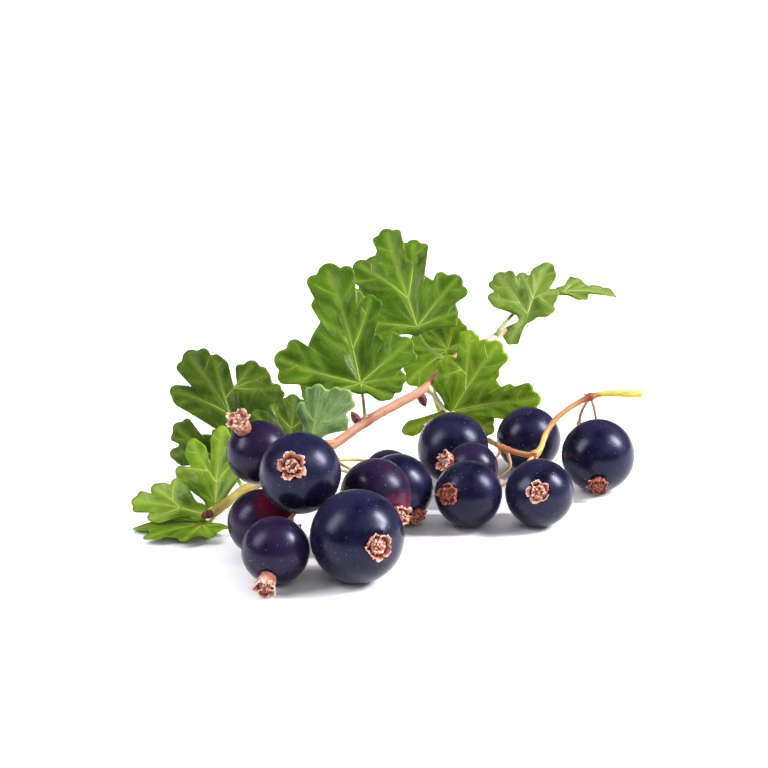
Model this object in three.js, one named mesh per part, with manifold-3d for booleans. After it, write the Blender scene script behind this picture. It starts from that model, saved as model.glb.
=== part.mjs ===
// Blackcurrant sprig: a short leafy twig lying on its side, with two trusses of ripe berries.
// Millimetres. x runs along the sprig to the cut end, y to its back and z up; it lies on z = 0.
import * as THREE from "three";
import { mergeVertices } from "three/addons/utils/BufferGeometryUtils.js";
import Module from "manifold-3d";

const wasm = await Module();
wasm.setup();

// Driving dimensions
const twigRadius = 0.9;
const shootRadius = 0.7; // the thin young end of the twig
const rachisRadius = 0.5;
const pedicelRadius = 0.32;
const petioleRadius = 0.42;
const leafThickness = 0.5;
const flowerRadius = 1.9; // across the open end of the dried flower
const budLength = 2.2;
const gap = 0.3; // between pieces that grow against each other
const usualWeb = 0.62; // how far the blade reaches between two lobes, as a share of their length
const berrySegments = 12;
const leafSegments = 60;

// Colours of the living pieces
const skin = { color: "#1b1a2b", roughness: 0.35, metalness: 0 };
const bark = { color: "#b07a55", roughness: 0.8, metalness: 0 };
const stalk = { color: "#b5873c", roughness: 0.6, metalness: 0 };
const husk = { color: "#a8704e", roughness: 0.9, metalness: 0 };
const scale = { color: "#5a2226", roughness: 0.7, metalness: 0 };
const blade = { color: "#4c7d23", roughness: 0.5, metalness: 0 };

// The twig, from its thin tip with the end bud to the cut end.
const twigPath = [
  [-27.4, 23.5, 3.7],
  [-25.5, 25.5, 4.6],
  [-23.4, 28, 5.6],
  [-17.8, 32, 6.7],
  [-13.2, 36, 8.1],
  [-8, 41, 9.5],
  [-3, 46.5, 11.4],
  [2.4, 54.5, 11.9],
  [7.7, 63, 12.3],
  [11.6, 68, 15],
  [17.6, 76, 16.1],
  [22.6, 82.5, 16.6],
];

// Each berry: its centre, its radius, the way its dried flower points, and the flower's length.
const leftBerries = [
  [[-19.9, 22.2, 14.5], 5.2, [-0.38, -0.3, 0.87], 3],
  [[-13, 11.5, 14.9], 6.4, [-0.13, -0.88, 0.45], 2.2],
  [[-19.4, 15.2, 5.3], 5.3, [0.85, -0.5, -0.1], 2.2],
  [[-16.6, 3.2, 5.3], 5.3, [-0.17, -0.88, -0.44], 2.5],
  [[-4.1, 4, 7.3], 7.3, [0.38, -0.92, 0.14], 2.4],
  [[-1.3, 18, 9], 5.7, [0.56, -0.79, -0.25], 2],
  [[2.3, 29.4, 5.7], 5.7, [0.5, -0.72, -0.48], 1.7],
  [[0.7, 39.5, 4.3], 4.3, [0.6, 0.7, -0.2], 2],
];
const rightBerries = [
  [[11.7, 48.2, 6.1], 6.1, [-0.5, 0.85, 0.17], 1.5],
  [[14.6, 37.8, 6.1], 4.4, [-0.88, -0.3, 0.36], 2.2],
  [[13.7, 27.4, 5.5], 5.5, [-0.55, -0.79, 0.27], 1.8],
  [[25.2, 27.6, 5.6], 5.6, [-0.08, -0.94, 0.34], 1.8],
  [[24.9, 54.1, 5.6], 5.6, [-0.1, 0.98, 0.1], 1.5],
  [[36, 44, 6.2], 6.2, [-0.04, -0.9, -0.42], 1.8],
];

// The left truss hangs under its berries; each pedicel runs from the rachis to one berry.
const leftRachis = [
  [-10.4, 38.2, 10.5],
  [-8.3, 31, 10],
  [-9, 24.5, 10.5],
  [-12, 17, 9],
];
const leftPedicels = [
  [[-9, 24.5, 10.5], [-13.5, 23, 9.6]],
  [[-9.6, 22.5, 10.2], [-11, 19, 11]],
  [[-11.4, 18.6, 9.3], [-17, 21.7, 8], [-22.6, 21.4, 6.2]],
  [[-12, 17, 9], [-14.5, 10.5, 7.8]],
  [[-12, 17, 9], [-9.2, 13, 7.2]],
  [[-9, 24.5, 10.5], [-8, 24, 11]],
  [[-8.3, 31, 10], [-4.2, 33, 9.4]],
  [[-8.3, 31, 10], [-5, 35, 6.8]],
];

// The right truss leaves the twig by its bud, dips behind the berries and rises to a bare cut end.
const rightRachis = [
  [8.8, 63, 10.6],
  [10, 63, 7.2],
  [12.6, 60, 4.6],
  [17, 55, 5.4],
  [19, 49.5, 6.3],
  [19.8, 43, 7.8],
  [20.6, 39, 8.9],
  [25, 37, 8.9],
  [27.3, 41, 11.8],
  [29.4, 43, 13.7],
  [34.6, 46, 15.9],
  [38.6, 46, 16.6],
  [42.9, 46, 16.4],
];
const rightPedicels = [
  [[19.8, 43, 7.8], [17.4, 41.9, 4.8]],
  [[20.4, 39.8, 8.6], [21, 39.2, 6]],
  [[25, 37, 8.9], [21, 33.5, 6]],
  [[25, 37, 8.9], [25.7, 35.2, 6]],
  [[25, 37, 8.9], [25.6, 43, 6.4]],
  [[34.6, 46, 15.9], [35.5, 48.8, 13.2]],
];
// A second stalk by the last berry has lost its own berry and ends bare.
const bareStalk = [[34.6, 46, 15.9], [33.4, 48.2, 12.6], [33.1, 49.8, 9.8]];

// Each leaf, from the tip of the twig to its cut end. The foot is where its stalk grows, counted
// along the points of the twig, and the base is where the stalk meets the blade. The aim is the way
// the middle lobe points and the face the way the upper side looks. A lobe is its angle from the
// middle one in degrees, its length, its half width and its number of side teeth. The bend is how
// far the blade arches back, folds up along the middle, pleats on its veins and waves at the edge,
// and the turn of those waves.
const leaves = [
  {
    foot: 2.8,
    base: [-23.4, 40, 10.3],
    aim: [-0.52, 0.43, 0.74],
    face: [0, -0.86, 0.5],
    lobes: [
      [-1, 18.4, 3.2, 1],
      [12, 15.7, 2.3, 0],
      [-22, 15.4, 2.5, 0],
      [37, 13.9, 2.8, 1],
      [50, 12.4, 1.7, 0],
      [63, 11.3, 2, 1],
    ],
    bend: [0.05, 0.05, 0.12, 0.6, 0],
  },
  {
    foot: 2.2,
    base: [-27, 34.5, 8.5],
    aim: [-0.8, 0.2, 0.55],
    face: [-0.1, -0.86, 0.5],
    lobes: [[3, 9.9, 2.4, 1], [-26, 8.5, 2.2, 0], [58, 6, 1.8, 1]],
    bend: [0.1, 0.1, 0.15, 0.4, 1],
  },
  {
    foot: 1,
    base: [-27.4, 28.2, 3.4],
    aim: [-0.21, 0.51, 0.83],
    face: [-0.1, -0.86, 0.5],
    lobes: [[-9, 12, 2.3, 0], [16, 13.4, 2.2, 0], [-34, 9.2, 2, 0], [40, 10.2, 2.4, 0]],
    web: 0.55,
    bend: [0.08, 0.08, 0.15, 0.5, 2],
  },
  {
    foot: 0.3,
    base: [-29.9, 24.8, 3.2],
    aim: [-0.9, 0.35, 0.26],
    face: [-0.1, -0.75, 0.65],
    lobes: [[-11, 11.8, 2.1, 1], [8, 9.8, 2, 0], [-28, 8.6, 1.6, 0], [29, 7.7, 1.7, 0]],
    bend: [0.12, 0.1, 0.15, 0.4, 3],
  },
  {
    foot: 0.5,
    base: [-29.3, 24.2, 1.4],
    aim: [-1, 0.05, 0],
    face: [0, 0, 1],
    lobes: [
      [0, 11.5, 2.4, 0],
      [-32, 10.5, 2.2, 0],
      [36, 6.6, 2.2, 1],
      [-70, 7.4, 2.2, 0],
      [-110, 6, 2, 0],
      [-165, 4.8, 1.6, 0],
    ],
    web: 0.8,
    bend: [0.08, 0.02, 0.08, 0.2, 4],
  },
  {
    foot: 3.2,
    base: [-15.8, 38, 10.5],
    aim: [-0.1, 0.43, 0.9],
    face: [0.1, -0.9, 0.4],
    lobes: [[11, 8.5, 2.5, 1], [-17, 7.4, 1.9, 0], [-43, 8.1, 1.9, 0], [40, 6, 1.8, 1]],
    bend: [0.1, 0.1, 0.15, 0.4, 5],
  },
  {
    foot: 4,
    base: [-11.7, 30, 14.5],
    aim: [0.2, 0.33, 0.92],
    face: [-0.1, 0.94, -0.31],
    lobes: [[4, 8.7, 2.2, 1], [-28, 9.8, 2.5, 1], [-52, 6.8, 1.8, 1], [30, 6, 1.6, 0]],
    web: 0.68,
    bend: [0.1, 0.1, 0.2, 0.4, 0],
  },
  {
    foot: 6,
    base: [-4, 47, 17.9],
    aim: [-0.23, 0.48, 0.84],
    face: [0.05, -0.86, 0.5],
    lobes: [
      [-2, 22, 4.2, 3],
      [20, 15.8, 2.2, 1],
      [-60, 15.2, 4.1, 2],
      [-90, 10.2, 2.2, 0],
      [62, 11.8, 3.4, 1],
      [95, 8, 2.6, 1],
      [125, 6.2, 2, 0],
    ],
    bend: [0.04, 0.05, 0.12, 0.7, 0],
  },
  {
    foot: 9,
    base: [5.9, 75, 19.4],
    aim: [-0.19, 0.6, 0.77],
    face: [-0.1, -0.8, 0.6],
    lobes: [
      [-6, 20.4, 2.8, 2],
      [9, 17.1, 2.8, 1],
      [50, 12.4, 3.6, 2],
      [-29, 17.4, 3.3, 2],
      [-72, 12, 3.4, 2],
      [82, 8, 2.6, 1],
    ],
    bend: [0.04, 0.05, 0.12, 0.6, 1],
  },
  {
    foot: 9.8,
    base: [11.4, 79, 13.9],
    aim: [-0.75, -0.1, -0.65],
    face: [-0.2, -0.9, 0.3],
    lobes: [
      [0, 9.5, 3, 1],
      [-38, 8, 2.6, 1],
      [45, 7.5, 2.4, 1],
      [95, 7.6, 2.6, 1],
      [-150, 6, 2.4, 1],
      [150, 6.4, 2.4, 1],
    ],
    bend: [-0.1, 0.08, 0.12, 0.5, 2],
  },
  {
    foot: 7.95,
    base: [12, 60.8, 8.4],
    aim: [0.14, 0.25, 0.96],
    face: [-0.1, -0.9, 0.42],
    lobes: [
      [4, 14.7, 1.9, 1],
      [26, 14.8, 3.1, 2],
      [73, 15.7, 3.1, 2],
      [108, 8.2, 2.2, 1],
      [-13, 10, 2.4, 1],
      [-33, 7, 1.6, 0],
      [-121, 9.9, 1.8, 0],
    ],
    bend: [0.08, 0.04, 0.12, 0.6, 3],
  },
  {
    foot: 10.95,
    base: [25.9, 82, 19.6],
    aim: [0.3, 0.65, 0.7],
    face: [-0.1, -0.7, 0.7],
    lobes: [
      [4, 12.1, 3, 0],
      [-22, 9, 2.2, 0],
      [-49, 10.5, 2.8, 1],
      [-76, 8.3, 2.2, 0],
      [33, 7.6, 2.2, 0],
      [62, 5.4, 1.8, 0],
      [-166, 7, 1.7, 1],
    ],
    web: 0.72,
    bend: [0.04, 0.1, 0.15, 0.5, 4],
  },
  {
    foot: 10.5,
    base: [33, 91.5, 21.2],
    aim: [1, 0.1, 0.02],
    face: [-0.1, -0.25, 0.95],
    lobes: [[0, 10.4, 1.9, 2], [-45, 5.6, 1.8, 1], [45, 5.6, 1.8, 1]],
    bend: [0.1, 0.2, 0.2, 0.8, 5],
  },
];

// Winter buds: the foot on the twig, the way the bud points and its radius.
const buds = {
  node_bud_1: [5.8, [-0.7, 0, 0.7], 0.8],
  node_bud_2: [7.7, [-0.25, -0.8, -0.5], 0.9],
  tip_bud: [0, [-0.75, -0.6, 0], 0.75],
};

const vector = (p) => new THREE.Vector3(...p);
const unit = (p) => vector(p).normalize();

// Positions only, with shared vertices, so that solids join and cut cleanly.
function welded(geometry) {
  geometry.deleteAttribute("normal");
  geometry.deleteAttribute("uv");
  return mergeVertices(geometry, 1e-4);
}

function solidOf(geometry) {
  const shape = welded(geometry);
  return new wasm.Manifold(
    new wasm.Mesh({
      numProp: 3,
      vertProperties: new Float32Array(shape.attributes.position.array),
      triVerts: new Uint32Array(shape.index.array),
    }),
  );
}

function joined(geometries) {
  const mesh = geometries.map(solidOf).reduce((a, b) => a.add(b)).getMesh();
  return new THREE.BufferGeometry()
    .setAttribute("position", new THREE.BufferAttribute(mesh.vertProperties, 3))
    .setIndex(new THREE.BufferAttribute(mesh.triVerts, 1));
}

function disc(radius, sides) {
  return new THREE.Shape(
    Array.from({ length: sides }, (_, i) => {
      const turn = (2 * Math.PI * i) / sides;
      return new THREE.Vector2(radius * Math.cos(turn), radius * Math.sin(turn));
    }),
  );
}

function tube(curve, radius, steps, sides = 6) {
  return new THREE.ExtrudeGeometry(disc(radius, sides), { steps, extrudePath: curve });
}

const smooth = (points) => new THREE.CatmullRomCurve3(points.map(vector));

function node(name, geometry, look) {
  const mesh = new THREE.Mesh(geometry, new THREE.MeshStandardMaterial(look));
  mesh.name = name;
  return mesh;
}

const twig = smooth(twigPath);

// A leaf stalk or bud starts beside the twig, just clear of its bark.
function besideTwig(foot, way, radius) {
  const t = foot / (twigPath.length - 1);
  const out = way.clone().projectOnPlane(twig.getTangent(t)).normalize();
  const start = twig.getPoint(t).addScaledVector(out, twigRadius + gap + radius);
  return { start, out };
}

// The blade is a soft union of strokes, each from r0 to r1 in radius along dx, dy. A lobe is a
// widening stroke and a rounded head, with pairs of smaller strokes down its sides for the teeth.
function lobeDiscs(lobes) {
  const discs = [{ x: 0, y: 0, dx: 0, dy: 0, r0: 1.8, r1: 1.8 }];
  for (const [degrees, length, width, teeth] of lobes) {
    const turn = THREE.MathUtils.degToRad(degrees);
    const [ux, uy] = [Math.sin(turn), Math.cos(turn)];
    const stroke = (from, to, r0, r1, side = 0, offset = 0) =>
      discs.push({
        x: ux * from + uy * side,
        y: uy * from - ux * side,
        dx: ux * (to - from) + uy * offset,
        dy: uy * (to - from) - ux * offset,
        r0,
        r1,
      });
    stroke(0, length - 1.15 * width, 0.42 * width, 0.82 * width);
    stroke(length - 1.15 * width, length - 0.5 * width, 0.8 * width, 0.5 * width);
    for (let k = 0; k < teeth; k++) {
      const along = length - width * (0.7 + k);
      if (along < 0.25 * length) break;
      const out = width * (k ? 0.78 : 0.66);
      const r = width * (k ? 0.33 : 0.36);
      stroke(along - r, along, r, r, out - r, r);
      stroke(along - r, along, r, r, r - out, -r);
    }
  }
  return discs;
}

// The web of the blade between two neighbouring lobes. Lobes over 80 degrees apart have none.
function webReach({ lobes, web = usualWeb }, turn) {
  const angle = THREE.MathUtils.radToDeg(Math.atan2(Math.sin(turn), Math.cos(turn)));
  const sorted = lobes.map(([degrees, length]) => [degrees, length]).sort((a, b) => a[0] - b[0]);
  const next = sorted.findIndex(([degrees]) => degrees > angle);
  if (next < 1 || sorted[next][0] - sorted[next - 1][0] > 80) return 0;
  const [[a, la], [b, lb]] = [sorted[next - 1], sorted[next]];
  return web * THREE.MathUtils.mapLinear(angle, a, b, la, lb);
}

// How far the blade reaches at an angle: the outermost place where the strokes' nearness adds up.
function reach(discs, leaf, longest, turn) {
  const [ux, uy] = [Math.sin(turn), Math.cos(turn)];
  const least = Math.max(0.2, webReach(leaf, turn));
  const blend = 0.4;
  for (let d = 1.06 * longest; d > least; d -= 0.08) {
    let sum = 0;
    for (const { x, y, dx, dy, r0, r1 } of discs) {
      const [px, py] = [ux * d - x, uy * d - y];
      const t = THREE.MathUtils.clamp((px * dx + py * dy) / (dx * dx + dy * dy + 1e-9), 0, 1);
      const clear = Math.hypot(px - t * dx, py - t * dy) - r0 - (r1 - r0) * t;
      sum += Math.exp((-2 * clear) / blend);
    }
    if (sum > 2) return d;
  }
  return least;
}

// Angles that cut the outline into stretches of equal length.
function evenAngles(discs, leaf, longest, count) {
  const fine = 720;
  const turns = Array.from({ length: fine + 1 }, (_, i) => (2 * Math.PI * i) / fine);
  const points = turns.map((turn) => {
    const d = reach(discs, leaf, longest, turn);
    return [d * Math.sin(turn), d * Math.cos(turn)];
  });
  const run = [0];
  for (let i = 1; i <= fine; i++) {
    const [x, y] = points[i - 1];
    run.push(run[i - 1] + Math.hypot(points[i][0] - x, points[i][1] - y));
  }
  return Array.from({ length: count }, (_, k) => {
    const goal = (run[fine] * k) / count;
    const i = run.findIndex((length) => length >= goal);
    return turns[i];
  });
}

// How high the blade stands off its flat plane, at a point of the plane.
function rise(leaf, longest, x, y) {
  const [arch, fold, pleat, wave, turn] = leaf.bend;
  const far = Math.hypot(x, y);
  const angle = Math.atan2(x, y);
  const offVein = Math.min(
    ...leaf.lobes.map(([degrees]) => {
      const d = angle - THREE.MathUtils.degToRad(degrees);
      return Math.abs(Math.atan2(Math.sin(d), Math.cos(d)));
    }),
  );
  const share = far / longest;
  return (
    -arch * longest * share * share +
    fold * (Math.hypot(x, 1) - 1) +
    pleat * far * Math.min(Math.sin(offVein), 0.35) +
    wave * share ** 3 * Math.sin(5 * angle + turn)
  );
}

// A sphere's rings become the rings of the blade: its upper half the upper side, the lower half the back.
function bladeOf(leaf) {
  const middle = unit(leaf.aim);
  const face = vector(leaf.face).projectOnPlane(middle).normalize();
  const side = new THREE.Vector3().crossVectors(middle, face);
  const longest = Math.max(...leaf.lobes.map(([, length]) => length));
  const discs = lobeDiscs(leaf.lobes);
  const angles = evenAngles(discs, leaf, longest, leafSegments);
  const reaches = angles.map((turn) => reach(discs, leaf, longest, turn));
  const sphere = new THREE.SphereGeometry(1, leafSegments, 4);
  const { position, uv } = sphere.attributes;
  for (let i = 0; i < position.count; i++) {
    const column = Math.round(uv.getX(i) * leafSegments) % leafSegments;
    const k = (leafSegments - column) % leafSegments;
    const ring = 2 * (1 - uv.getY(i));
    const upper = ring <= 1;
    const share = upper ? ring : 2 - ring;
    const x = share * reaches[k] * Math.sin(angles[k]);
    const y = share * reaches[k] * Math.cos(angles[k]);
    const half = (leafThickness / 2) * (1 - share ** 4) * (upper ? 1 : -1);
    const point = vector(leaf.base)
      .addScaledVector(side, x)
      .addScaledVector(middle, y)
      .addScaledVector(face, rise(leaf, longest, x, y) + half);
    position.setXYZ(i, point.x, point.y, point.z);
  }
  return sphere;
}

// The stalk bows away from the twig and meets the blade along its middle lobe.
function leafStalk(leaf) {
  const base = vector(leaf.base);
  const way = base.clone().sub(twig.getPoint(leaf.foot / (twigPath.length - 1)));
  const { start } = besideTwig(leaf.foot, way, petioleRadius);
  const bow = base.clone().addScaledVector(unit(leaf.aim), -0.4 * base.distanceTo(start));
  return tube(new THREE.QuadraticBezierCurve3(start, bow, base), petioleRadius, 5);
}

function berryOf([centre, radius]) {
  return new THREE.SphereGeometry(radius, berrySegments, 8).rotateX(Math.PI / 2).translate(...centre);
}

// A dried flower: a small bell standing on the end of its berry.
function flowerOf([centre, radius, way, length]) {
  const profile = [
    [0, 0],
    [0.45, 0],
    [0.6, 0.35],
    [0.85, 0.75],
    [1, 1],
    [0.55, 0.92],
    [0, 0.8],
  ].map(([r, h]) => new THREE.Vector2(r * flowerRadius, h * length));
  const turn = new THREE.Quaternion().setFromUnitVectors(new THREE.Vector3(0, 1, 0), unit(way));
  const foot = vector(centre).addScaledVector(unit(way), radius + gap);
  return new THREE.LatheGeometry(profile, 8).applyQuaternion(turn).translate(foot.x, foot.y, foot.z);
}

// A truss stem: the rachis with a pedicel that ends just short of the stalk end of each berry.
function trussOf(rachis, pedicels, berries, extra = []) {
  const stalks = pedicels.map((via, i) => {
    const [centre, radius, way] = berries[i];
    const end = vector(centre).addScaledVector(unit(way), -radius - 1.5 * gap);
    return tube(new THREE.CatmullRomCurve3([...via.map(vector), end]), pedicelRadius, 5, 5);
  });
  const knot = () => new THREE.SphereGeometry(rachisRadius * 1.15, 6, 4);
  const knots = pedicels.map(([foot]) => knot().translate(...foot));
  const bare = extra.map((path) => tube(smooth(path), pedicelRadius, 4, 5));
  const main = tube(smooth(rachis), rachisRadius, 3 * (rachis.length - 1));
  return joined([main, ...knots, ...stalks, ...bare]);
}

// A pointed bud beside the twig, or at its end where the foot is 0.
function budOf([foot, way, radius]) {
  const tip = { start: twig.getPoint(0).addScaledVector(unit(way), gap), out: unit(way) };
  const { start, out } = foot ? besideTwig(foot, unit(way), 0) : tip;
  const profile = [
    [0, 0],
    [0.7, 0.05],
    [1, 0.35],
    [0.7, 0.75],
    [0, 1],
  ].map(([r, h]) => new THREE.Vector2(r * radius, h * budLength));
  const turn = new THREE.Quaternion().setFromUnitVectors(new THREE.Vector3(0, 1, 0), out);
  return new THREE.LatheGeometry(profile, 8).applyQuaternion(turn).translate(start.x, start.y, start.z);
}

const sprig = new THREE.Group();
sprig.name = "blackcurrant_sprig";
const shoot = smooth(twigPath.slice(0, 5));
const stout = smooth(twigPath.slice(3));
sprig.add(node("twig", joined([tube(shoot, shootRadius, 9, 8), tube(stout, twigRadius, 18, 8)]), bark));
sprig.add(node("left_truss_stem", trussOf(leftRachis, leftPedicels, leftBerries), stalk));
sprig.add(node("right_truss_stem", trussOf(rightRachis, rightPedicels, rightBerries, [bareStalk]), stalk));
for (const [side, berries] of Object.entries({ left: leftBerries, right: rightBerries })) {
  berries.forEach((berry, i) => {
    sprig.add(node(`${side}_berry_${i + 1}`, berryOf(berry), skin));
    sprig.add(node(`${side}_flower_${i + 1}`, flowerOf(berry), husk));
  });
}
leaves.forEach((leaf, i) => {
  sprig.add(node(`leaf_${i + 1}`, joined([bladeOf(leaf), leafStalk(leaf)]), blade));
});
for (const [name, bud] of Object.entries(buds)) {
  sprig.add(node(name, budOf(bud), scale));
}

// The part's origin is the middle of its footprint, on the surface it lies on.
const box = new THREE.Box3().setFromObject(sprig);
const middle = box.getCenter(new THREE.Vector3());
sprig.children.forEach((mesh) => mesh.geometry.translate(-middle.x, -middle.y, -box.min.z));

export default sprig;
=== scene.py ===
# A sprig of blackcurrant lying as it was picked: a leafy twig with two trusses of ripe berries.
from functools import partial

import bpy
import numpy as np
from mathutils import Matrix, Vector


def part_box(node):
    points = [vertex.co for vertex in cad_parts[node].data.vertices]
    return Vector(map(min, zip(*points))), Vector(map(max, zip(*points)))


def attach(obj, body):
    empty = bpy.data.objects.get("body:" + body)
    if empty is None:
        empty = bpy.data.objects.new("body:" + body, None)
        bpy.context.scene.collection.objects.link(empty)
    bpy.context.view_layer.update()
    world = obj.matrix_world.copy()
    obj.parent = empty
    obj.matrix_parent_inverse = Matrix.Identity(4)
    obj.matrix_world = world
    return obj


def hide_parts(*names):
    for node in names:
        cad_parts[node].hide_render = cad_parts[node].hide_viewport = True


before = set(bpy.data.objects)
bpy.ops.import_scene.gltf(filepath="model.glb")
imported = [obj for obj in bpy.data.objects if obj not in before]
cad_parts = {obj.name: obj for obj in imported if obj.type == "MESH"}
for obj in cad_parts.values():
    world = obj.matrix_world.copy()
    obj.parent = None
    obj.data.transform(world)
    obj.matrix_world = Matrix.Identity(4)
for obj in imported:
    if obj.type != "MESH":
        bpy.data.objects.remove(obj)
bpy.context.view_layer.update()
print("frame loaded")

mm = 0.001


def middleOf(node):
    # the middle of a part of the sprig, in mm
    low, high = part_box(node)
    return (np.array(low) + np.array(high)) / (2 * mm)


# Places are in millimetres, as the sprig grew: the big front berry has its middle at this place.
frontBerry = np.array([-4.1, 4, 7.3])
origin = frontBerry - middleOf("left_berry_5")


def unit(way):
    # the same direction with length 1
    return way / np.linalg.norm(way, axis=-1, keepdims=True)


def ripple(points, length, seed, waves=9):
    # twice the mean of a few plane waves of about that length, in random directions: about -1 to 1
    rng = np.random.default_rng(seed)
    ways = unit(rng.normal(size=(waves, points.shape[-1])))
    ways = ways * (2 * np.pi / length) * rng.uniform(0.6, 1.5, (waves, 1))
    return 2 * np.sin(points @ ways.T + rng.uniform(0, 2 * np.pi, waves)).mean(-1)


def step(values, low, high):
    # 0 below low, 1 above high, and a smooth rise between
    t = np.clip((values - low) / (high - low), 0, 1)
    return t * t * (3 - 2 * t)


def bell(values, width):
    # exp(-(value / width)^2): 1 at 0 and about a third at the width
    return np.exp(-((values / width) ** 2))


def turnsOf(count):
    # that many even turns round an axis, in radians
    return np.linspace(0, 2 * np.pi, count, endpoint=False)


def polar(radius, turn, height):
    # places by their radius and turn round an axis and their height along it
    return np.stack(np.broadcast_arrays(radius * np.cos(turn), radius * np.sin(turn), height), -1)


def globe(rows, columns, pole):
    # the latitude of each row, from one pole to the other, and the directions along it
    lat = np.linspace(pole, np.pi - pole, rows)[:, None]
    return lat, polar(np.sin(lat), turnsOf(columns), np.cos(lat))


def smoothPath(points, count):
    # centripetal Catmull-Rom: between two points, the cubic whose slopes weigh each neighbour by
    # the square root of its distance
    p = np.asarray(points, float)
    p = np.vstack([2 * p[0] - p[1], p, 2 * p[-1] - p[-2]])
    t = np.linspace(0, len(points) - 1, count)
    i = np.minimum(t.astype(int), len(points) - 2)
    w = (t - i)[:, None]
    a, b, c, d = p[i], p[i + 1], p[i + 2], p[i + 3]
    pairs = ((a, b), (b, c), (c, d))
    ab, bc, cd = (np.sqrt(np.linalg.norm(v - u, axis=1))[:, None] for u, v in pairs)
    leave = ((b - a) / ab - (c - a) / (ab + bc) + (c - b) / bc) * bc
    arrive = ((c - b) / bc - (d - b) / (bc + cd) + (d - c) / cd) * bc
    return (
        (2 * w**3 - 3 * w**2 + 1) * b
        + (w**3 - 2 * w**2 + w) * leave
        + (3 * w**2 - 2 * w**3) * c
        + (w**3 - w**2) * arrive
    )


def runOf(path):
    # how far along the path each of its points lies
    return np.concatenate([[0], np.cumsum(np.linalg.norm(np.diff(path, axis=0), axis=1))])


def sharesOf(path):
    # the same as shares of the whole length
    run = runOf(path)
    return run / run[-1]


def frameOf(way):
    # three directions at right angles, the last along the way
    way = unit(np.asarray(way, float))
    across = unit(np.cross(way, [0, 0, 1] if abs(way[2]) < 0.9 else [1, 0, 0]))
    return np.stack([across, np.cross(way, across), way])


endShares = np.array([0.2, 0.5, 0.8, 0.97])  # of the radius: how far past an end its rings are


def roundEnds(path, radius):
    # carries each end on by a half round: k radii further the ring is sqrt(1 - k^2) of its size
    k = endShares
    first, last = unit(path[0] - path[1]), unit(path[-1] - path[-2])
    head = path[0] + np.outer(k[::-1] * radius[0], first)
    foot = path[-1] + np.outer(k * radius[-1], last)
    shrink = np.sqrt(1 - k**2)
    return (
        np.vstack([head, path, foot]),
        np.concatenate([radius[0] * shrink[::-1], radius, radius[-1] * shrink]),
    )


def tube(path, radius, sides):
    # rings round a path: path + radius (cos a n + sin a b). The same rings on a straight stem, in
    # metres, are the stem's grain. The radius is one for each ring, or one for each point.
    ways = unit(np.gradient(path, axis=0))
    flat = np.linalg.svd(path - path.mean(0), full_matrices=False)[2][2]
    n = unit(np.cross(ways, flat))
    b = np.cross(ways, n)
    turn = turnsOf(sides)
    ring = n[:, None] * np.cos(turn)[:, None] + b[:, None] * np.sin(turn)[:, None]
    radius = np.broadcast_to(np.reshape(radius, (len(path), -1)), (len(path), sides))
    grain = polar(radius, turn, runOf(path)[:, None]) * mm
    return path[:, None] + radius[..., None] * ring, grain


def newObject(name, data):
    thing = bpy.data.objects.new(name, data)
    bpy.context.scene.collection.objects.link(thing)
    return thing


def skinFaces(rows, columns):
    # one face for each cell of a grid whose columns close on themselves, and a fan at each end
    cell = np.arange(rows * columns).reshape(rows, columns)
    after = np.roll(cell, -1, axis=1)
    quads = np.stack([cell[:-1], cell[1:], after[1:], after[:-1]], -1).reshape(-1, 4)
    foot, head = np.full(columns, rows * columns), np.full(columns, rows * columns + 1)
    start, end = np.stack([foot, cell[0], after[0]], -1), np.stack([head, after[-1], cell[-1]], -1)
    return quads, np.vstack([start, end])


def withEnds(grid):
    # the grid as one list, then the mean of its first row and of its last
    return np.concatenate([grid.reshape(-1, *grid.shape[2:]), grid[:1].mean(1), grid[-1:].mean(1)])


def makePiece(name, node, materials, skins):
    # one mesh of closed skins. A skin has its points, the material of each band of faces, and its
    # values: grids that become attributes of the same name.
    keys = {key: np.ndim(value) for skin in skins for key, value in skin["values"].items()}
    points, faces, bands, values, count = [], [], [], {key: [] for key in keys}, 0
    for skin in skins:
        rows, columns = skin["points"].shape[:2]
        flat = withEnds(skin["points"])
        quads, fans = skinFaces(rows, columns)
        corners = np.vstack([quads[:, :3], quads[:, [0, 2, 3]], fans])
        a, b, c = (flat[corners[:, k]] - flat.mean(0) for k in range(3))
        if np.sum(a * np.cross(b, c)) < 0:
            quads, fans = quads[:, ::-1], fans[:, ::-1]
        faces += (quads + count).tolist() + (fans + count).tolist()
        band = np.broadcast_to(skin.get("material", 0), rows - 1)
        bands += [np.repeat(band, columns), np.repeat(band[[0, -1]], columns)]
        for key in keys:
            shape = (rows, columns, 3) if keys[key] == 3 else (rows, columns)
            values[key].append(withEnds(np.broadcast_to(skin["values"].get(key, 0.0), shape)))
        points.append(flat)
        count += len(flat)
    mesh = bpy.data.meshes.new(name)
    mesh.from_pydata((np.vstack(points) - origin) * mm, [], faces)
    mesh.polygons.foreach_set("material_index", np.concatenate(bands).astype(np.int32))
    mesh.shade_smooth()
    for key, parts in values.items():
        kind, field = ("FLOAT_VECTOR", "vector") if keys[key] == 3 else ("FLOAT", "value")
        data = mesh.attributes.new(key, kind, "POINT").data
        data.foreach_set(field, np.concatenate(parts).astype(np.float32).ravel())
    for material in materials:
        mesh.materials.append(material)
    piece = newObject(name, mesh)
    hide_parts(node)
    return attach(piece, "root")


def linear(hexColour):
    # an sRGB hex colour as linear values
    srgb = np.array([int(hexColour[i : i + 2], 16) for i in (1, 3, 5)]) / 255
    return (*np.where(srgb <= 0.04045, srgb / 12.92, ((srgb + 0.055) / 1.055) ** 2.4), 1.0)


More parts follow.
